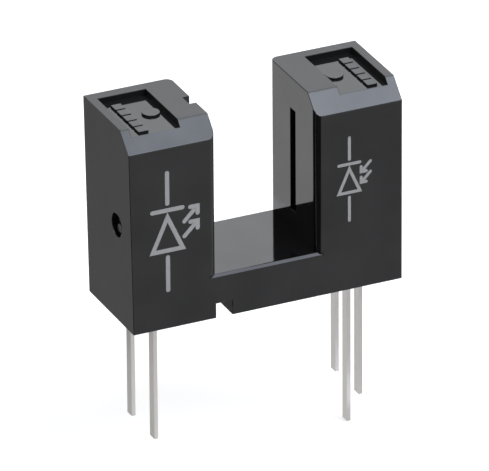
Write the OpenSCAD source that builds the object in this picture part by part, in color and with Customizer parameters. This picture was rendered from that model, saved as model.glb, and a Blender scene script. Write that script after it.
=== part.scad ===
// Slot-type photoelectric sensor: a U-shaped moulded housing, open underneath,
// holds a side-view emitter in one tower and a side-view detector in the other.
// Origin at the middle of the seating plane, +X from emitter to detector,
// -Y is the front with the bevelled top edge, +Z away from the circuit board.

/* [Body] */
// Length of the body at the top, across both towers
body_l = 13.7; // [13.4:0.1:15]
// Depth of the body from front to back
body_d = 5; // [4.8:0.1:6]
// Height of the body above the circuit board
body_h = 10; // [9.8:0.1:12]
// Height of the bridge under the sensing slot
bridge_h = 2.2; // [1.8:0.1:2.6]
// Width of the sensing slot between the towers
slot_w = 5; // [4.4:0.1:5.2]
// How far the emitter's end face leans in from top to bottom
end_draft = 0.15; // [0:0.05:0.3]
// Size of the bevel along the top front edge
front_bevel = 0.9; // [0.4:0.1:1.2]
// Radius of the upright edges on both sides of the slot
slot_edge_r = 0.35; // [0.15:0.05:0.5]
// Size of the small bevel along the slot floor's front edge
floor_bevel = 0.12; // [0.06:0.02:0.14]
// Width of the groove across the underside, beside the emitter tower
groove_w = 0.8; // [0.4:0.1:1.2]
// Height of the groove across the underside
groove_h = 0.73; // [0.3:0.01:1]
// Distance from the middle of the slot to the middle of the groove
groove_x = 2.15; // [1:0.05:2.15]

/* [Walls] */
// Wall between the slot and a tower's chamber
slot_wall = 0.6; // [0.45:0.05:0.8]
// Front and back wall of a tower
side_wall = 0.6; // [0.5:0.05:0.7]
// Roof above a tower's chamber
roof = 1.1; // [0.8:0.05:1.4]

/* [Optics] */
// Distance from the top of the body down to the light beam
beam_drop = 2.7; // [2.6:0.1:3]
// Width of the detector's slit
slit_w = 0.55; // [0.3:0.05:0.8]
// Width of the emitter's window
window_w = 0.75; // [0.4:0.05:1.2]
// Distance from the top of the body to the top of slit and window
slit_drop = 1.56; // [1.3:0.02:1.8]
// Distance from the slot floor to the foot of slit and window
slit_foot = 1.1; // [0.5:0.1:2]
// Depth of the groove that runs from the emitter's window to the top
notch_depth = 0.35; // [0.2:0.05:0.4]

/* [Top recesses] */
// Width of the recess in the top of each tower
recess_w = 2.4; // [2:0.1:2.6]
// Depth of the recess
recess_depth = 0.3; // [0.15:0.05:0.45]
// Rim left standing behind the recess
recess_rim = 0.58; // [0.4:0.02:0.8]
// Number of plain raised pads in the row along each recess
pad_count = 5; // [3:1:6]
// Width of the row of pads
pad_w = 0.5; // [0.3:0.05:0.6]
// Distance from one pad to the next
pad_pitch = 0.64; // [0.4:0.02:0.64]
// Gap between neighbouring pads
pad_gap = 0.1; // [0.06:0.02:0.2]
// Height of the raised pads
pad_h = 0.1; // [0.05:0.05:0.25]
// Distance of the row of pads from the recess's middle, toward the end face
pad_out = 0.52; // [0.3:0.02:0.7]
// Distance of the row's middle from the body's middle, toward the front
pad_forward = 0.15; // [0:0.05:0.3]
// Diameter of the round raised mark in each recess
mark_d = 0.85; // [0.5:0.05:1]
// Height of the round raised mark
mark_h = 0.1; // [0.05:0.05:0.15]
// Distance of the round mark from the recess's middle, toward the slot
mark_in = 0.6; // [0.3:0.05:0.7]

/* [Gate mark] */
// Diameter of the dimple around the gate on the emitter's end face
gate_d = 1.15; // [0.6:0.05:1.6]
// Depth of the dimple
gate_depth = 0.3; // [0.1:0.05:0.35]
// Height of the dimple's middle above the seating plane
gate_z = 4.95; // [2:0.05:7]
// Distance of the dimple from the middle of the end face, toward the front
gate_y = 0.93; // [0:0.01:1.4]
// Diameter of the gate's stub inside the dimple
stub_d = 0.45; // [0.2:0.05:0.5]
// Height of the stub above the dimple's floor
stub_h = 0.15; // [0.05:0.05:0.25]
// How far the stub stands below the dimple's middle
stub_drop = 0.2; // [0:0.05:0.25]

/* [Leads] */
// Distance from an end face to the middle of its row of leads
lead_inset = 1.65; // [1.5:0.05:1.8]
// Distance from the front or back wall to the middle of an outer lead
lead_margin = 0.63; // [0.5:0.01:0.75]
// Width of a lead
lead_w = 0.5; // [0.35:0.05:0.6]
// Thickness of a lead
lead_t = 0.2; // [0.15:0.05:0.3]
// Length of a lead below the seating plane
lead_len = 6.1; // [3:0.1:12]
// How much further the middle lead reaches
long_extra = 2; // [0:0.1:4]

/* [Moulded devices] */
// Resin in front of a lead row, toward the slot
resin_front = 0.85; // [0.65:0.05:1]
// Resin behind a lead row, toward the end face
resin_back = 1.05; // [0.8:0.05:1.2]
// Recess of the devices above the seating plane
device_lift = 0.9; // [0.6:0.05:1.2]
// Play between a device and the front and back walls
device_play = 0.02; // [0.01:0.01:0.05]
// How much narrower a device is at its faces than at its parting line, each side
device_draft = 0.12; // [0.05:0.01:0.2]
// Radius of the lens surface
lens_r = 1.3; // [1.25:0.05:2]
// Gap between the lens and the slot wall
lens_gap = 0.15; // [0.1:0.05:0.3]
// Gap between the lens and the guide ribs beside it
lens_side_gap = 0.35; // [0.1:0.05:0.5]
// Width of the guide ribs
rib_w = 0.45; // [0.3:0.05:0.5]
// How far a catch stands in from the wall to hold a device
catch_reach = 0.2; // [0.1:0.02:0.24]
// Length of a catch
catch_l = 0.8; // [0.4:0.1:1.2]
// Height of a catch
catch_h = 0.45; // [0.3:0.05:0.55]

/* [Chips and wires] */
// Side of the emitter chip
emitter_chip_w = 0.35; // [0.25:0.05:0.5]
// Margin of its pad around the detector chip
chip_margin = 0.2; // [0.1:0.05:0.3]
// Thickness of the chips
chip_t = 0.28; // [0.15:0.01:0.35]
// Thickness of the conductive paste under the chips
bond_t = 0.03; // [0.02:0.01:0.05]
// Side of the emitter's chip pad
emitter_pad = 1; // [0.7:0.1:1.2]
// Gap between a chip pad and the leads that it doesn't belong to
pad_clear = 0.17; // [0.12:0.01:0.25]
// Height of a lead's head and of the arm that joins a chip pad to its lead
arm_h = 0.6; // [0.3:0.1:0.8]
// Diameter of a bond wire
wire_d = 0.04; // [0.03:0.01:0.06]
// Distance from an edge to the foot of a wire beside it
wire_inset = 0.2; // [0.1:0.02:0.22]

/* [Hidden] */
$fn = 64;
// Overshoot of every cut past the surface that it opens
eps = 1;
row_x = body_l / 2 - lead_inset;
beam_z = body_h - beam_drop;
slit_top = body_h - slit_drop;
slit_bottom = bridge_h + slit_foot;
chamber_in = slot_w / 2 + slot_wall;
chamber_out = row_x + resin_back;
chamber_top = body_h - roof;
chamber_d = body_d - 2 * side_wall;
lead_y = chamber_d / 2 - lead_margin;
device_in = row_x - resin_front;
device_d = chamber_d - 2 * device_play;
lens_tip = chamber_in + lens_gap;
lens_d = chamber_d - 2 * (rib_w + lens_side_gap);
recess_z = body_h - recess_depth;
recess_back = body_d / 2 - recess_rim;
recess_d = recess_back + body_d / 2;
pad_x = row_x + pad_out;
mark_x = row_x - mark_in;
die_x = row_x - lead_t / 2;
chip_x = die_x - bond_t - chip_t;
detector_pad = 2 * (lead_y - lead_w / 2 - pad_clear);
detector_chip_w = detector_pad - 2 * chip_margin;
chip_foot = detector_chip_w / 2 - wire_inset;
output_top = beam_z - detector_pad / 2 - pad_clear;
// Inner edge of the head that the emitter's wire lands on
head_y = emitter_pad / 2 + pad_clear;

// A block from one corner to the opposite one
module block(low, high) {
    translate(low) cube(high - low);
}

// The U-shaped outline seen from the front, drawn out from front to back
module front_profile() {
    translate([0, body_d / 2, 0]) rotate([90, 0, 0]) linear_extrude(height = body_d)
        polygon([
            [-body_l / 2 + end_draft, 0],
            [body_l / 2, 0],
            [body_l / 2, body_h],
            [slot_w / 2, body_h],
            [slot_w / 2, bridge_h],
            [-slot_w / 2, bridge_h],
            [-slot_w / 2, body_h],
            [-body_l / 2, body_h]
        ]);
}

// The outline seen from the end, with the bevelled top front edge
module end_profile() {
    rotate([90, 0, 90]) translate([0, 0, -body_l / 2 - eps]) linear_extrude(height = body_l + 2 * eps)
        polygon([
            [-body_d / 2, 0],
            [body_d / 2, 0],
            [body_d / 2, body_h],
            [-body_d / 2 + front_bevel, body_h],
            [-body_d / 2, body_h - front_bevel]
        ]);
}

// What is cut away to round the upright edge at the slot's right back corner, from a height up
module upright_edge_cut(low) {
    translate([slot_w / 2, body_d / 2 - slot_edge_r, low])
        difference() {
            translate([-eps, 0, 0]) cube([slot_edge_r + eps, slot_edge_r + eps, body_h]);
            translate([slot_edge_r, 0, -eps]) cylinder(r = slot_edge_r, h = body_h + 2 * eps);
        }
}

// What is cut away to bevel the slot floor's front edge, out to a distance on both sides
module floor_edge_cut(reach) {
    translate([-reach, 0, 0]) rotate([90, 0, 90]) linear_extrude(height = 2 * reach)
        polygon([
            [-body_d / 2 - eps, bridge_h - floor_bevel - eps],
            [-body_d / 2 + floor_bevel + eps, bridge_h + eps],
            [-body_d / 2 - eps, bridge_h + eps]
        ]);
}

// The rounded upright edges of the slot, with the floor's bevel mitred into the front ones
module slot_edge_cuts() {
    floor_edge_cut(slot_w / 2 - eps / 2);
    for (side = [-1, 1]) {
        for (depth = [-1, 1]) scale([side, depth, 1]) upright_edge_cut(bridge_h);
        intersection() {
            floor_edge_cut(slot_w / 2 + slot_edge_r + eps);
            scale([side, -1, 1]) upright_edge_cut(bridge_h - floor_bevel - eps);
        }
    }
}

// The chamber of one tower: a wide part for the device and a narrow one for its lens, between the ribs
module chamber() {
    difference() {
        union() {
            block([device_in, -chamber_d / 2, -eps], [chamber_out, chamber_d / 2, chamber_top]);
            block([chamber_in, -chamber_d / 2 + rib_w, -eps],
                [device_in + eps / 2, chamber_d / 2 - rib_w, chamber_top]);
        }
        for (depth = [-1, 1]) catch(depth);
    }
}

// A wedge on the front or back wall that the device snaps past and then rests on
module catch(depth) {
    translate([row_x - catch_l / 2, 0, device_lift - catch_h])
        rotate([90, 0, 90]) linear_extrude(height = catch_l)
            polygon([
                [depth * (chamber_d / 2 + eps / 4), 0],
                [depth * chamber_d / 2, 0],
                [depth * (chamber_d / 2 - catch_reach), catch_h],
                [depth * (chamber_d / 2 + eps / 4), catch_h]
            ]);
}

// The shallow recess in the top of one tower, open to the front, with what stands in it
module top_recess() {
    difference() {
        block([row_x - recess_w / 2, recess_back - recess_d - eps, recess_z],
            [row_x + recess_w / 2, recess_back, body_h + eps]);
        for (i = [0 : pad_count - 1])
            translate([
                pad_x - pad_w / 2,
                (i - pad_count / 2) * pad_pitch + pad_gap / 2 - pad_forward,
                recess_z - eps
            ]) cube([pad_w, pad_pitch - pad_gap, pad_h + eps]);
        translate([mark_x, 0, recess_z - eps]) cylinder(d = mark_d, h = mark_h + eps);
    }
}

// The dimple on the emitter's end face, with the gate's stub inside
module gate_dimple() {
    lean = atan(end_draft / body_h);
    translate([-body_l / 2 + end_draft * (1 - gate_z / body_h), -gate_y, gate_z])
        rotate([0, 90 + lean, 0])
            difference() {
                translate([0, 0, -eps]) cylinder(d = gate_d, h = gate_depth + eps);
                translate([stub_drop, 0, gate_depth - stub_h]) cylinder(d = stub_d, h = stub_h + eps);
            }
}

module housing() {
    color([0.13, 0.135, 0.14])
        difference() {
            intersection() {
                front_profile();
                end_profile();
            }
            slot_edge_cuts();
            for (side = [-1, 1]) scale([side, 1, 1]) {
                chamber();
                top_recess();
            }
            block([slot_w / 2 - eps, -slit_w / 2, slit_bottom], [chamber_in + eps / 2, slit_w / 2, slit_top]);
            block([-chamber_in - eps / 2, -window_w / 2, slit_bottom],
                [-slot_w / 2 + eps, window_w / 2, slit_top]);
            block([-slot_w / 2 - notch_depth, -window_w / 2, slit_bottom],
                [-slot_w / 2 + eps, window_w / 2, body_h + eps]);
            block([-groove_x - groove_w / 2, -body_d / 2 - eps, -eps],
                [-groove_x + groove_w / 2, body_d / 2 + eps, groove_h]);
            gate_dimple();
        }
}

// One straight lead of the detector's row, from its cut end up to a height
module lead_strip(y, low, high) {
    block([row_x - lead_t / 2, y - lead_w / 2, low], [row_x + lead_t / 2, y + lead_w / 2, high]);
}

// A lead that carries a chip pad on the light beam's axis
module pad_lead(y, pad) {
    lead_strip(y, -lead_len, beam_z + arm_h / 2);
    block([row_x - lead_t / 2, -pad / 2, beam_z - pad / 2], [row_x + lead_t / 2, pad / 2, beam_z + pad / 2]);
    block([row_x - lead_t / 2, 0, beam_z - arm_h / 2], [row_x + lead_t / 2, y, beam_z + arm_h / 2]);
}

// A square layer centred on the light beam
module square_layer(x, thickness, side) {
    block([x, -side / 2, beam_z - side / 2], [x + thickness, side / 2, beam_z + side / 2]);
}

// A wire that leaves a chip at from, arches toward the slot and drops to the metal at to,
// both given as [y, z] in the plane of the leads
module bond_wire(from, to) {
    run = norm(to - from);
    turn = atan2(to[1] - from[1], to[0] - from[0]);
    translate([chip_x, from[0], from[1]]) rotate([turn, 0, 0]) {
        translate([0, run / 2, 0]) rotate([0, 0, 90]) rotate_extrude(angle = 180, $fn = 24)
            translate([run / 2, 0]) circle(d = wire_d, $fn = 8);
        translate([0, run, 0]) rotate([0, 90, 0]) cylinder(d = wire_d, h = chip_t + bond_t, $fn = 8);
    }
}

// The moulded body of one device, narrower at both faces than at its parting line, with its lens
module device_body() {
    half = device_d / 2;
    translate([0, 0, device_lift]) linear_extrude(height = chamber_top - device_lift)
        polygon([
            [device_in, -half + device_draft],
            [row_x - lead_t / 2, -half],
            [row_x + lead_t / 2, -half],
            [chamber_out, -half + device_draft],
            [chamber_out, half - device_draft],
            [row_x + lead_t / 2, half],
            [row_x - lead_t / 2, half],
            [device_in, half - device_draft]
        ]);
    intersection() {
        translate([lens_tip, 0, beam_z]) rotate([0, 90, 0])
            cylinder(d = lens_d, h = row_x - lead_t / 2 - lens_tip);
        translate([lens_tip + lens_r, 0, beam_z]) union() {
            sphere(r = lens_r);
            rotate([0, 90, 0]) cylinder(r = lens_r, h = row_x);
        }
    }
}

// The emitter's pieces are laid out as the detector's are and mirrored into the other tower
module emitter_side() {
    mirror([1, 0, 0]) children();
}

module anode_lead() {
    color([0.8, 0.79, 0.76]) emitter_side() {
        lead_strip(-lead_y, -lead_len, beam_z + arm_h / 2);
        block([row_x - lead_t / 2, -lead_y, beam_z - arm_h / 2], [row_x + lead_t / 2, -head_y, beam_z + arm_h / 2]);
    }
}

module cathode_lead() {
    color([0.8, 0.79, 0.76]) emitter_side() pad_lead(lead_y, emitter_pad);
}

module supply_lead() {
    color([0.8, 0.79, 0.76]) lead_strip(-lead_y, -lead_len, beam_z + arm_h / 2);
}

module output_lead() {
    color([0.8, 0.79, 0.76]) lead_strip(0, -lead_len - long_extra, output_top);
}

module ground_lead() {
    color([0.8, 0.79, 0.76]) pad_lead(lead_y, detector_pad);
}

module emitter_chip() {
    color([0.35, 0.3, 0.32]) emitter_side() square_layer(chip_x, chip_t, emitter_chip_w);
}

module emitter_die_bond() {
    color([0.7, 0.7, 0.7]) emitter_side() square_layer(die_x - bond_t, bond_t, emitter_chip_w);
}

module emitter_bond_wire() {
    color([0.9, 0.7, 0.3]) emitter_side() bond_wire([0, beam_z], [-head_y - wire_inset, beam_z]);
}

module detector_chip() {
    color([0.3, 0.32, 0.38]) square_layer(chip_x, chip_t, detector_chip_w);
}

module detector_die_bond() {
    color([0.7, 0.7, 0.7]) square_layer(die_x - bond_t, bond_t, detector_chip_w);
}

module supply_bond_wire() {
    color([0.9, 0.7, 0.3]) bond_wire([-chip_foot, beam_z], [-lead_y, beam_z]);
}

module output_bond_wire() {
    color([0.9, 0.7, 0.3]) bond_wire([0, beam_z - chip_foot], [0, output_top - lead_w / 2]);
}

module ground_bond_wire() {
    color([0.9, 0.7, 0.3]) bond_wire([chip_foot, beam_z], [lead_y, beam_z]);
}

module emitter_package() {
    color([0.72, 0.76, 0.84])
        difference() {
            emitter_side() device_body();
            anode_lead();
            cathode_lead();
            emitter_chip();
            emitter_die_bond();
            emitter_bond_wire();
        }
}

module detector_package() {
    color([0.1, 0.08, 0.13])
        difference() {
            device_body();
            supply_lead();
            output_lead();
            ground_lead();
            detector_chip();
            detector_die_bond();
            supply_bond_wire();
            output_bond_wire();
            ground_bond_wire();
        }
}

housing();
anode_lead();
cathode_lead();
supply_lead();
output_lead();
ground_lead();
emitter_package();
emitter_chip();
emitter_die_bond();
emitter_bond_wire();
detector_package();
detector_chip();
detector_die_bond();
supply_bond_wire();
output_bond_wire();
ground_bond_wire();
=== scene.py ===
"""Looks of the slot-type photoelectric sensor, dressed around its CAD nodes."""

import math

import bmesh
import bpy
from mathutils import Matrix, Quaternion, Vector


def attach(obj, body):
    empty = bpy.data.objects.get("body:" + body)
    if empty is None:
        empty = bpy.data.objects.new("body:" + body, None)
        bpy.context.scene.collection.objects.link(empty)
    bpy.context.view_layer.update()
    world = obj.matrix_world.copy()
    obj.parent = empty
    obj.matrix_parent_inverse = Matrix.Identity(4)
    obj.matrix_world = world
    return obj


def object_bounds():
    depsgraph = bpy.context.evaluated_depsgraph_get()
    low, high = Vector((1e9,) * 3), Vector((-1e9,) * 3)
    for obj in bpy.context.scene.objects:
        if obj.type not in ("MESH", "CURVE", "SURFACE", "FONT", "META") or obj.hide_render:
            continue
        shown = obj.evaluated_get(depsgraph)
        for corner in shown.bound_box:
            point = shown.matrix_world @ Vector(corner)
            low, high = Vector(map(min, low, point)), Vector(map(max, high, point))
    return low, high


MM = 0.001

# Camera: where it looks, from how far, and from which side, as fitted to the photograph's corners
PICTURE_W = 489
FOCAL_PX = 8596
SENSOR_MM = 36
AIM = Vector((0.03, 0, 2.54)) * MM
DISTANCE = 394.5 * MM
AZIMUTH = math.radians(-24.63)
ELEVATION = math.radians(26.41)
ROLL = math.radians(-0.41)

# Depth of the grained skin on top of the towers
TOP_BAND = 0.05 * MM

# The two top recesses, where the resin is a little duller and its colour is lightened as painted light on their dark
# walls, in millimetres
RECESSES = (
    ((3.99, -2, 9.695), (6.41, 1.93, 9.99)),
    ((-6.41, -2, 9.695), (-3.99, 1.93, 9.99)),
)

# The slot floor's front edge, which is duller still, in millimetres
FLOOR_EDGE = ((-2.9, -2.6, 2.07), (2.9, -2.37, 2.21))

# Floor just under the longest lead
FLOOR_GAP = 0.05 * MM
FLOOR_HALF = 600 * MM

# Where the housing's edges are crisper than its outer ones: recesses, gate dimple, slit and window, in millimetres
FINE_DETAIL = (
    ((3.9, -2.6, 9.5), (6.5, 2, 10.1)),
    ((-6.5, -2.6, 9.5), (-3.9, 2, 10.1)),
    ((-7, -1.6, 4.2), (-6.3, -0.3, 5.7)),
    ((2.4, -0.5, 3), (3.2, 0.5, 8.6)),
    ((-3.2, -0.5, 3), (-2.4, 0.5, 10.1)),
    ((3, -2, -0.1), (6.4, 2, 9.1)),
    ((-6.4, -2, -0.1), (-3, 2, 9.1)),
)

# Printed symbols: the middle of each on its front face, its size against the emitter's, and the ink's thickness
EMITTER_SYMBOL = Vector((-4.53, 4.92)) * MM
DETECTOR_SYMBOL = Vector((4.47, 5.65)) * MM
DETECTOR_SCALE = 0.71
STROKE = 0.21 * MM
INK_PROUD = 0.008 * MM
INK_SUNK = 0.01 * MM
ROUND_STEPS = 5

# Sky: how bright it lights, and how bright it is in reflections
SKY_LIGHT = 0.55
MIRRORED_SKY = 0.22

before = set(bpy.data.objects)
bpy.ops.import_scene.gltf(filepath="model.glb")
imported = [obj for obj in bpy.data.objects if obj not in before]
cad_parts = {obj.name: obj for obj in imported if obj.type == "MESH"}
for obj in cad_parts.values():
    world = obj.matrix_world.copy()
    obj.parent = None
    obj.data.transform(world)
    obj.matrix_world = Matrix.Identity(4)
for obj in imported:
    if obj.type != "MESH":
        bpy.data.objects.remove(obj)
cad_low, cad_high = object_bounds()


def clear_nodes(tree):
    tree.nodes.clear()
    return tree.nodes, tree.links


def new_material(name):
    """A node material with an empty tree, its Principled shader and its output."""
    material = bpy.data.materials.new(name)
    material.use_nodes = True
    nodes, links = clear_nodes(material.node_tree)
    shader = nodes.new("ShaderNodeBsdfPrincipled")
    output = nodes.new("ShaderNodeOutputMaterial")
    links.new(shader.outputs["BSDF"], output.inputs["Surface"])
    return material, shader


def add_noise(material, scale, detail=3, stretch=(1, 1, 1)):
    """Noise in the object's own space, whose scale is in cells per millimetre."""
    nodes, links = material.node_tree.nodes, material.node_tree.links
    place = nodes.new("ShaderNodeTexCoord")
    fit = nodes.new("ShaderNodeMapping")
    fit.inputs["Scale"].default_value = [scale * s / MM for s in stretch]
    noise = nodes.new("ShaderNodeTexNoise")
    noise.inputs["Scale"].default_value = 1
    noise.inputs["Detail"].default_value = detail
    links.new(place.outputs["Object"], fit.inputs["Vector"])
    links.new(fit.outputs["Vector"], noise.inputs["Vector"])
    return noise.outputs["Fac"]


def ranged(material, value, low, high, from_low=0.3, from_high=0.7):
    """A value stretched from one range to another."""
    nodes, links = material.node_tree.nodes, material.node_tree.links
    spread = nodes.new("ShaderNodeMapRange")
    spread.inputs["From Min"].default_value = from_low
    spread.inputs["From Max"].default_value = from_high
    spread.inputs["To Min"].default_value = low
    spread.inputs["To Max"].default_value = high
    links.new(value, spread.inputs["Value"])
    return spread.outputs["Result"]


def blended(material, factor, low, high):
    """A colour between two colours."""
    nodes, links = material.node_tree.nodes, material.node_tree.links
    mix = nodes.new("ShaderNodeMix")
    mix.data_type = "RGBA"
    mix.inputs["A"].default_value = (*low, 1)
    mix.inputs["B"].default_value = (*high, 1)
    links.new(factor, mix.inputs["Factor"])
    return mix.outputs["Result"]


def add_bump(material, shader, height, distance, strength=1.0, before=None):
    """Fine relief of a given depth, in metres, whose strength is a number or a socket."""
    nodes, links = material.node_tree.nodes, material.node_tree.links
    bump = nodes.new("ShaderNodeBump")
    if isinstance(strength, bpy.types.NodeSocket):
        links.new(strength, bump.inputs["Strength"])
    else:
        bump.inputs["Strength"].default_value = strength
    bump.inputs["Distance"].default_value = distance
    links.new(height, bump.inputs["Height"])
    if before is not None:
        links.new(before, bump.inputs["Normal"])
    links.new(bump.outputs["Normal"], shader.inputs["Normal"])
    return bump.outputs["Normal"]


def topmost(material, level):
    """1 above a level of the object's own space, and 0 below it."""
    nodes, links = material.node_tree.nodes, material.node_tree.links
    place = nodes.new("ShaderNodeTexCoord")
    apart = nodes.new("ShaderNodeSeparateXYZ")
    links.new(place.outputs["Object"], apart.inputs[0])
    above = nodes.new("ShaderNodeMath")
    above.operation = "GREATER_THAN"
    above.inputs[1].default_value = level
    links.new(apart.outputs["Z"], above.inputs[0])
    return above.outputs["Value"]


def in_boxes(material, boxes):
    """1 in one of some boxes of the object's own space, and 0 elsewhere."""
    tools = (material.node_tree.nodes, material.node_tree.links)
    place = tools[0].new("ShaderNodeTexCoord").outputs["Object"]
    inside = 0.0
    for low, high in boxes:
        inside = put_into(tools, "ShaderNodeMath", "MAXIMUM", inside, inside_box(tools, place, low, high))
    return inside


def chosen(material, factor, off, on, kind="FLOAT"):
    """One of two sockets by a factor of 0 or 1."""
    nodes, links = material.node_tree.nodes, material.node_tree.links
    mix = nodes.new("ShaderNodeMix")
    mix.data_type = kind
    links.new(factor, mix.inputs["Factor"])
    links.new(off, mix.inputs["A"])
    links.new(on, mix.inputs["B"])
    return mix.outputs["Result"]


def housing_material():
    """Glossy black moulded resin, finely grained on top and a little duller there and in the recesses, whose colour is
    lightened as painted light on their dark walls.
    """
    material, shader = new_material("moulded_housing")
    tools = (material.node_tree.nodes, material.node_tree.links)
    links = material.node_tree.links
    flow = add_noise(material, 0.35, 4)
    grain = add_noise(material, 9, 4)
    recess = in_boxes(material, RECESSES)
    top = topmost(material, cad_high.z - TOP_BAND)
    duller = put_into(tools, "ShaderNodeMath", "MAXIMUM", top, recess)
    deep = blended(material, flow, (0.0035, 0.0035, 0.0038), (0.006, 0.006, 0.0065))
    # Lighter colour in the recesses: painted light that brightens their dark walls, and their floors a little
    painted_recess_light = blended(material, grain, (0.011, 0.011, 0.0115), (0.016, 0.016, 0.0165))
    links.new(chosen(material, recess, deep, painted_recess_light, "RGBA"), shader.inputs["Base Color"])
    smooth = ranged(material, add_noise(material, 1.4, 3), 0.04, 0.08)
    rough = ranged(material, grain, 0.3, 0.36)
    links.new(chosen(material, top, smooth, rough), shader.inputs["Roughness"])
    shader.inputs["IOR"].default_value = 1.5
    glossy = ranged(material, flow, 0.45, 0.56)
    satin = ranged(material, flow, 0.38, 0.44)
    dull_edge = ranged(material, flow, 0.27, 0.33)
    sheen = chosen(material, duller, glossy, satin)
    edge = in_boxes(material, [FLOOR_EDGE])
    links.new(chosen(material, edge, sheen, dull_edge), shader.inputs["Specular IOR Level"])
    add_bump(material, shader, grain, 0.002 * MM, ranged(material, top, 0.02, 0.4, 0, 1))
    return material


def lead_material():
    """Dull tin plating, drawn along the lead."""
    material, shader = new_material("tin_plated_lead")
    links = material.node_tree.links
    streaks = add_noise(material, 5, 4, (1, 1, 0.06))
    grain = add_noise(material, 14, 3)
    links.new(blended(material, streaks, (0.56, 0.545, 0.53), (0.64, 0.625, 0.605)),
              shader.inputs["Base Color"])
    links.new(ranged(material, grain, 0.3, 0.42), shader.inputs["Roughness"])
    shader.inputs["Metallic"].default_value = 1
    first = add_bump(material, shader, streaks, 0.004 * MM, 0.5)
    add_bump(material, shader, grain, 0.002 * MM, 0.5, first)
    return material


def clear_resin_material():
    """Clear cast resin with a faint blue tint."""
    material, shader = new_material("clear_resin_body")
    links = material.node_tree.links
    haze = add_noise(material, 2, 3)
    links.new(blended(material, haze, (0.86, 0.9, 0.96), (0.9, 0.93, 0.97)), shader.inputs["Base Color"])
    links.new(ranged(material, haze, 0.04, 0.1), shader.inputs["Roughness"])
    shader.inputs["Transmission Weight"].default_value = 1
    shader.inputs["IOR"].default_value = 1.54
    add_bump(material, shader, haze, 0.002 * MM, 0.3)
    return material


def dark_resin_material():
    """Violet black resin that passes infrared light only."""
    material, shader = new_material("dark_resin_body")
    links = material.node_tree.links
    flow = add_noise(material, 1, 3)
    links.new(blended(material, flow, (0.008, 0.004, 0.012), (0.016, 0.009, 0.022)),
              shader.inputs["Base Color"])
    links.new(ranged(material, add_noise(material, 6, 3), 0.12, 0.2), shader.inputs["Roughness"])
    shader.inputs["IOR"].default_value = 1.55
    add_bump(material, shader, flow, 0.002 * MM, 0.3)
    return material


def chip_material():
    """Polished semiconductor."""
    material, shader = new_material("semiconductor_chip")
    links = material.node_tree.links
    cells = add_noise(material, 12, 1)
    links.new(blended(material, cells, (0.16, 0.17, 0.22), (0.26, 0.27, 0.31)), shader.inputs["Base Color"])
    links.new(ranged(material, cells, 0.1, 0.2), shader.inputs["Roughness"])
    shader.inputs["Metallic"].default_value = 0.6
    add_bump(material, shader, cells, 0.001 * MM, 0.3)
    return material


def paste_material():
    """Silver-filled paste."""
    material, shader = new_material("silver_paste")
    links = material.node_tree.links
    flakes = add_noise(material, 30, 2)
    links.new(blended(material, flakes, (0.5, 0.5, 0.5), (0.7, 0.7, 0.69)), shader.inputs["Base Color"])
    links.new(ranged(material, flakes, 0.4, 0.6), shader.inputs["Roughness"])
    shader.inputs["Metallic"].default_value = 0.7
    add_bump(material, shader, flakes, 0.003 * MM, 0.6)
    return material


def wire_material():
    """Drawn gold wire."""
    material, shader = new_material("gold_wire")
    links = material.node_tree.links
    draw = add_noise(material, 20, 2)
    links.new(blended(material, draw, (0.85, 0.58, 0.2), (0.95, 0.7, 0.3)), shader.inputs["Base Color"])
    links.new(ranged(material, draw, 0.15, 0.25), shader.inputs["Roughness"])
    shader.inputs["Metallic"].default_value = 1
    add_bump(material, shader, draw, 0.001 * MM, 0.4)
    return material


def marking_material():
    """Grey marking ink, a little worn."""
    material, shader = new_material("marking_ink")
    links = material.node_tree.links
    wear = add_noise(material, 7, 4)
    links.new(blended(material, wear, (0.295, 0.29, 0.285), (0.355, 0.35, 0.345)), shader.inputs["Base Color"])
    links.new(ranged(material, wear, 0.45, 0.65), shader.inputs["Roughness"])
    shader.inputs["IOR"].default_value = 1.45
    add_bump(material, shader, wear, 0.002 * MM, 0.5)
    return material


def put_into(modifier_nodes, kind, operation, *inputs):
    """A math node with its operation and its inputs, each a number or another node's socket."""
    nodes, links = modifier_nodes
    node = nodes.new(kind)
    node.operation = operation
    for socket, value in zip(node.inputs, inputs):
        if isinstance(value, bpy.types.NodeSocket):
            links.new(value, socket)
        else:
            socket.default_value = value
    return node.outputs[0]


def inside_box(tools, place, low, high):
    """1 where a place lies in a box, given by two corners in millimetres, and otherwise 0."""
    nodes, links = tools
    centre = (Vector(low) + Vector(high)) / 2 * MM
    half = (Vector(high) - Vector(low)) / 2 * MM
    offset = put_into(tools, "ShaderNodeVectorMath", "SUBTRACT", place, centre)
    away = put_into(tools, "ShaderNodeVectorMath", "ABSOLUTE", offset)
    apart = nodes.new("ShaderNodeSeparateXYZ")
    links.new(away, apart.inputs[0])
    result = 1.0
    for axis in range(3):
        near = put_into(tools, "ShaderNodeMath", "LESS_THAN", apart.outputs[axis], half[axis])
        result = put_into(tools, "ShaderNodeMath", "MULTIPLY", result, near)
    return result


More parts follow.
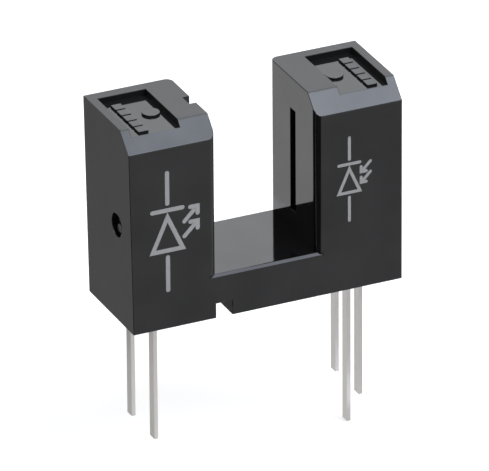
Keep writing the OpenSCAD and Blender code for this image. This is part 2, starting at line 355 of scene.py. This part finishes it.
def edge_kinds(fine_boxes, fine_weight, angle):
    """Node group that weighs each outer edge for the bevel, less so in the boxes of fine detail, and keeps inner edges sharp."""
    group = bpy.data.node_groups.new("edge_kinds", "GeometryNodeTree")
    for way in ("INPUT", "OUTPUT"):
        group.interface.new_socket("Geometry", in_out=way, socket_type="NodeSocketGeometry")
    nodes, links = group.nodes, group.links
    tools = (nodes, links)
    start = nodes.new("NodeGroupInput")
    end = nodes.new("NodeGroupOutput")
    turn = nodes.new("GeometryNodeInputMeshEdgeAngle").outputs["Signed Angle"]
    place = nodes.new("GeometryNodeInputPosition").outputs[0]
    fine = 0.0
    for low, high in fine_boxes:
        fine = put_into(tools, "ShaderNodeMath", "MAXIMUM", fine, inside_box(tools, place, low, high))
    less = put_into(tools, "ShaderNodeMath", "MULTIPLY", fine, 1 - fine_weight)
    share = put_into(tools, "ShaderNodeMath", "SUBTRACT", 1.0, less)
    outer = put_into(tools, "ShaderNodeMath", "GREATER_THAN", turn, math.radians(angle))
    inner = put_into(tools, "ShaderNodeMath", "LESS_THAN", turn, -math.radians(angle))
    weight = put_into(tools, "ShaderNodeMath", "MULTIPLY", outer, share)
    geometry = start.outputs[0]
    for name, kind, value in (("bevel_weight_edge", "FLOAT", weight), ("sharp_edge", "BOOLEAN", inner)):
        store = nodes.new("GeometryNodeStoreNamedAttribute")
        store.data_type = kind
        store.domain = "EDGE"
        store.inputs["Name"].default_value = name
        links.new(geometry, store.inputs["Geometry"])
        links.new(value, store.inputs["Value"])
        geometry = store.outputs["Geometry"]
    links.new(geometry, end.inputs[0])
    return group


def soften_edges(node, width, segments, fine_boxes=(), fine_weight=1.0, angle=25):
    """Rounds a CAD node's sharp outer edges through modifiers, with its mesh as it was."""
    weld = node.modifiers.new("weld", "WELD")
    weld.merge_threshold = 0.0005 * MM
    flat = node.modifiers.new("flat_faces", "DECIMATE")
    flat.decimate_type = "DISSOLVE"
    flat.angle_limit = math.radians(0.5)
    kinds = node.modifiers.new("edge_kinds", "NODES")
    kinds.node_group = edge_kinds(fine_boxes, fine_weight, angle)
    bevel = node.modifiers.new("soft_edges", "BEVEL")
    bevel.width = width
    bevel.segments = segments
    bevel.limit_method = "WEIGHT"
    bevel.use_clamp_overlap = False
    bevel.loop_slide = False
    shade = node.modifiers.new("even_shading", "WEIGHTED_NORMAL")
    shade.mode = "FACE_AREA"
    shade.weight = 100
    shade.keep_sharp = True


def dress(name, material):
    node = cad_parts[name]
    node.data.materials.clear()
    node.data.materials.append(material)
    return node


def dress_nodes():
    """Every CAD node gets its finish, and what shows gets soft edges."""
    housing = dress("housing", housing_material())
    soften_edges(housing, 0.03 * MM, 3, FINE_DETAIL, 0.7)
    tin = lead_material()
    for name in ("anode_lead", "cathode_lead", "supply_lead", "output_lead", "ground_lead"):
        soften_edges(dress(name, tin), 0.01 * MM, 2)
    dress("emitter_package", clear_resin_material())
    dress("detector_package", dark_resin_material())
    semiconductor, paste, gold = chip_material(), paste_material(), wire_material()
    for side in ("emitter", "detector"):
        dress(side + "_chip", semiconductor)
        dress(side + "_die_bond", paste)
    for name in ("emitter", "supply", "output", "ground"):
        dress(name + "_bond_wire", gold)


def diode_lines(arrows_in):
    """The lines of a diode symbol in millimetres, each with whether it is closed, and two arrows that leave or reach it."""
    lines = [
        (((-1.17, -0.95), (0.33, -0.95), (-0.42, 0.72)), True),
        (((-1.17, 1.08), (0.33, 1.08)), False),
        (((-0.42, -1.3), (-0.42, -2.95)), False),
        (((-0.42, 1.42), (-0.42, 2.95)), False),
    ]
    for rise in (-0.4, 0.35):
        start, tip = Vector((0.42, rise)), Vector((1.08, rise + 0.66))
        turn = 1
        if arrows_in:
            start, tip, turn = tip, start, -1
        lines.append(((start, tip + (start - tip) * 0.3), False))
        lines.append(((tip - Vector((0.36, 0)) * turn, tip, tip - Vector((0, 0.36)) * turn), False))
    return lines


def crossways(points, half, closed):
    """Pairs of points left and right of a line, mitred at its corners, with round ends where it is open."""
    pairs = []
    last = len(points) - 1
    for i, point in enumerate(points):
        ways = []
        if closed or i > 0:
            ways.append((point - points[i - 1]).normalized())
        if closed or i < last:
            ways.append((points[(i + 1) % (last + 1)] - point).normalized())
        sides = [way.orthogonal() for way in ways]
        side = sum(sides, Vector((0, 0))).normalized()
        reach = side * half / side.dot(sides[0])
        pairs.append((point + reach, point - reach))
    if not closed:
        start_way = (points[0] - points[1]).normalized()
        end_way = (points[-1] - points[-2]).normalized()
        pairs = round_end(pairs[0], start_way, half)[::-1] + pairs + round_end(pairs[-1], end_way, half)
    return pairs


def round_end(pair, way, half):
    """Pairs that carry a line on into a round end."""
    middle = (pair[0] + pair[1]) / 2
    side = (pair[0] - middle).normalized()
    end = []
    for step in range(1, ROUND_STEPS + 1):
        turn = math.radians(85) * step / ROUND_STEPS
        place = middle + way * half * math.sin(turn)
        reach = side * half * math.cos(turn)
        end.append((place + reach, place - reach))
    return end


def add_stroke(mesh, points, closed, half):
    """One raised line of ink on the front face, as a closed solid in a bmesh."""
    front, back = cad_low.y - INK_PROUD, cad_low.y + INK_SUNK
    rings = []
    for left, right in crossways(points, half, closed):
        corners = ((left, front), (right, front), (right, back), (left, back))
        rings.append([mesh.verts.new((flat.x, depth, flat.y)) for flat, depth in corners])
    following = rings[1:] + rings[:1] if closed else rings[1:]
    for ring, after in zip(rings, following):
        for i in range(4):
            j = (i + 1) % 4
            mesh.faces.new((ring[i], ring[j], after[j], after[i]))
    if not closed:
        mesh.faces.new(rings[0][::-1])
        mesh.faces.new(rings[-1])


def make_symbol(name, place, size, arrows_in, material):
    """A diode symbol in ink on the front face."""
    mesh = bmesh.new()
    for line, closed in diode_lines(arrows_in):
        points = [place + Vector(point) * size * MM for point in line]
        add_stroke(mesh, points, closed, STROKE * size / 2)
    bmesh.ops.recalc_face_normals(mesh, faces=mesh.faces)
    data = bpy.data.meshes.new(name)
    mesh.to_mesh(data)
    mesh.free()
    data.materials.append(material)
    symbol = bpy.data.objects.new(name, data)
    bpy.context.scene.collection.objects.link(symbol)
    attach(symbol, "root")


def print_symbols():
    ink = marking_material()
    make_symbol("emitter_symbol", EMITTER_SYMBOL, 1, False, ink)
    make_symbol("detector_symbol", DETECTOR_SYMBOL, DETECTOR_SCALE, True, ink)


def make_floor():
    """A white floor that keeps a soft shadow."""
    level = cad_low.z - FLOOR_GAP
    bpy.ops.mesh.primitive_plane_add(size=2 * FLOOR_HALF, location=(0, 0, level))
    floor = bpy.context.object
    floor.name = "floor"
    material = bpy.data.materials.new("floor_white")
    material.use_nodes = True
    nodes, links = clear_nodes(material.node_tree)
    diffuse = nodes.new("ShaderNodeBsdfDiffuse")
    diffuse.inputs["Color"].default_value = (0.8, 0.8, 0.8, 1)
    glow = nodes.new("ShaderNodeEmission")
    both = nodes.new("ShaderNodeAddShader")
    output = nodes.new("ShaderNodeOutputMaterial")
    share = nodes.new("ShaderNodeMath")
    share.operation = "MULTIPLY"
    share.inputs[1].default_value = 0.52
    links.new(seen_directly(nodes, links), share.inputs[0])
    links.new(share.outputs["Value"], glow.inputs["Strength"])
    links.new(diffuse.outputs["BSDF"], both.inputs[0])
    links.new(glow.outputs["Emission"], both.inputs[1])
    links.new(both.outputs["Shader"], output.inputs["Surface"])
    floor.data.materials.append(material)


def seen_directly(nodes, links, kinds=("Is Camera Ray", "Is Glossy Ray", "Is Transmission Ray")):
    """1 for camera, glossy and transmission rays, or for the kinds that are named, and 0 for the others."""
    path = nodes.new("ShaderNodeLightPath")
    total = path.outputs[kinds[0]]
    for kind in kinds[1:]:
        add = nodes.new("ShaderNodeMath")
        add.operation = "ADD"
        add.use_clamp = True
        links.new(total, add.inputs[0])
        links.new(path.outputs[kind], add.inputs[1])
        total = add.outputs["Value"]
    return total


def make_world():
    """White where it is seen, dim where it is mirrored, and a plain level where it lights."""
    world = bpy.data.worlds.new("studio")
    world.use_nodes = True
    bpy.context.scene.world = world
    nodes, links = clear_nodes(world.node_tree)
    level = None
    for brightness, kinds in (
        (MIRRORED_SKY, ("Is Glossy Ray",)),
        (1, ("Is Camera Ray", "Is Transmission Ray")),
    ):
        shown = nodes.new("ShaderNodeBackground")
        shown.inputs["Strength"].default_value = brightness
        if level is None:
            level = nodes.new("ShaderNodeBackground")
            level.inputs["Strength"].default_value = SKY_LIGHT
        mix = nodes.new("ShaderNodeMixShader")
        links.new(seen_directly(nodes, links, kinds), mix.inputs["Fac"])
        links.new(level.outputs[0], mix.inputs[1])
        links.new(shown.outputs["Background"], mix.inputs[2])
        level = mix
    output = nodes.new("ShaderNodeOutputWorld")
    links.new(level.outputs[0], output.inputs["Surface"])


def make_softbox(name, direction, distance, size, radiance, colour=(1, 1, 1)):
    """A square softbox that faces the object, with its brightness given as radiance."""
    data = bpy.data.lights.new(name, "AREA")
    data.shape = "SQUARE"
    data.size = size
    data.energy = math.pi * size * size * radiance
    data.color = colour
    box = bpy.data.objects.new(name, data)
    bpy.context.scene.collection.objects.link(box)
    away = Vector(direction).normalized()
    box.location = AIM + away * distance
    box.rotation_mode = "QUATERNION"
    box.rotation_quaternion = away.to_track_quat("Z", "Y")
    return box


def make_card(name, low, high, brightness, colour=(1, 1, 1)):
    """A studio card that only reflections show: a flat box between two corners, in millimetres."""
    centre = (Vector(low) + Vector(high)) / 2 * MM
    bpy.ops.mesh.primitive_cube_add(size=1, location=centre)
    card = bpy.context.object
    card.name = name
    card.scale = (Vector(high) - Vector(low)) * MM
    card.visible_camera = False
    card.visible_diffuse = False
    card.visible_shadow = False
    card.visible_transmission = False
    material = bpy.data.materials.new(name)
    material.use_nodes = True
    nodes, links = clear_nodes(material.node_tree)
    glow = nodes.new("ShaderNodeEmission")
    glow.inputs["Color"].default_value = (*colour, 1)
    glow.inputs["Strength"].default_value = brightness
    output = nodes.new("ShaderNodeOutputMaterial")
    links.new(glow.outputs["Emission"], output.inputs["Surface"])
    card.data.materials.append(material)
    return card


def make_studio():
    make_world()
    make_floor()
    ground = cad_low.z / MM
    make_softbox("key_softbox", (0.37, -0.475, 0.8), 350 * MM, 200 * MM, 6.4, (0.82, 0.88, 1))
    make_softbox("back_softbox", (0.37, 0.8, 0.476), 350 * MM, 260 * MM, 1.7, (0.93, 0.965, 1))
    make_softbox("left_softbox", (-0.54, -0.09, 0.84), 350 * MM, 120 * MM, 1.5)
    make_card("front_card", (-1.5, -60, ground), (60, -4, ground + 0.05), 0.74, (0.98, 0.98, 1))
    make_card("dark_card", (-60, -60, ground), (-1.6, -6, ground + 0.05), 0.04)
    make_card("lead_front_card", (-5.2, -16, ground + 0.06), (1.5, -1, ground + 0.08), 1)
    make_card("left_bevel_card", (-1.5, -14.5, 25.7), (6.9, -8, 25.8), 4.9, (0.82, 0.88, 1))
    make_card("top_card", (30, -52, 200), (150, 120, 201), 4, (0.9, 0.94, 1))
    make_card("corner_card", (-90, -270, 200), (55, -155, 201), 10, (0.9, 0.94, 1))
    make_card("left_top_card", (-190, -130, 200), (-20, 40, 201), 5, (0.9, 0.94, 1))
    make_card("end_card", (-11.3, 5, ground), (-11.2, 24, 7), 0.37)
    make_card("groove_card", (-10, 11, ground), (-8, 18, ground + 0.05), 0.2)
    make_card("back_card", (-16, 18.5, ground), (-7, 60, ground + 0.05), 0.97)
    make_card("left_lead_card", (-11.1, -5.9, ground), (-5.3, 17, ground + 0.03), 0.57)
    make_card("right_lead_card", (-5.2, -2, ground), (6, 17, ground + 0.03), 0.78)


def make_camera():
    data = bpy.data.cameras.new("camera")
    data.sensor_width = SENSOR_MM
    data.lens = FOCAL_PX * SENSOR_MM / PICTURE_W
    data.clip_start = DISTANCE / 10
    data.clip_end = DISTANCE * 10
    camera = bpy.data.objects.new("camera", data)
    bpy.context.scene.collection.objects.link(camera)
    back = Vector((
        math.sin(AZIMUTH) * math.cos(ELEVATION),
        -math.cos(AZIMUTH) * math.cos(ELEVATION),
        math.sin(ELEVATION),
    ))
    camera.location = AIM + back * DISTANCE
    camera.rotation_mode = "QUATERNION"
    camera.rotation_quaternion = (-back).to_track_quat("-Z", "Y") @ Quaternion((0, 0, 1), ROLL)
    bpy.context.scene.camera = camera


bpy.context.scene.view_settings.view_transform = "Standard"
make_camera()
make_studio()
dress_nodes()
print_symbols()
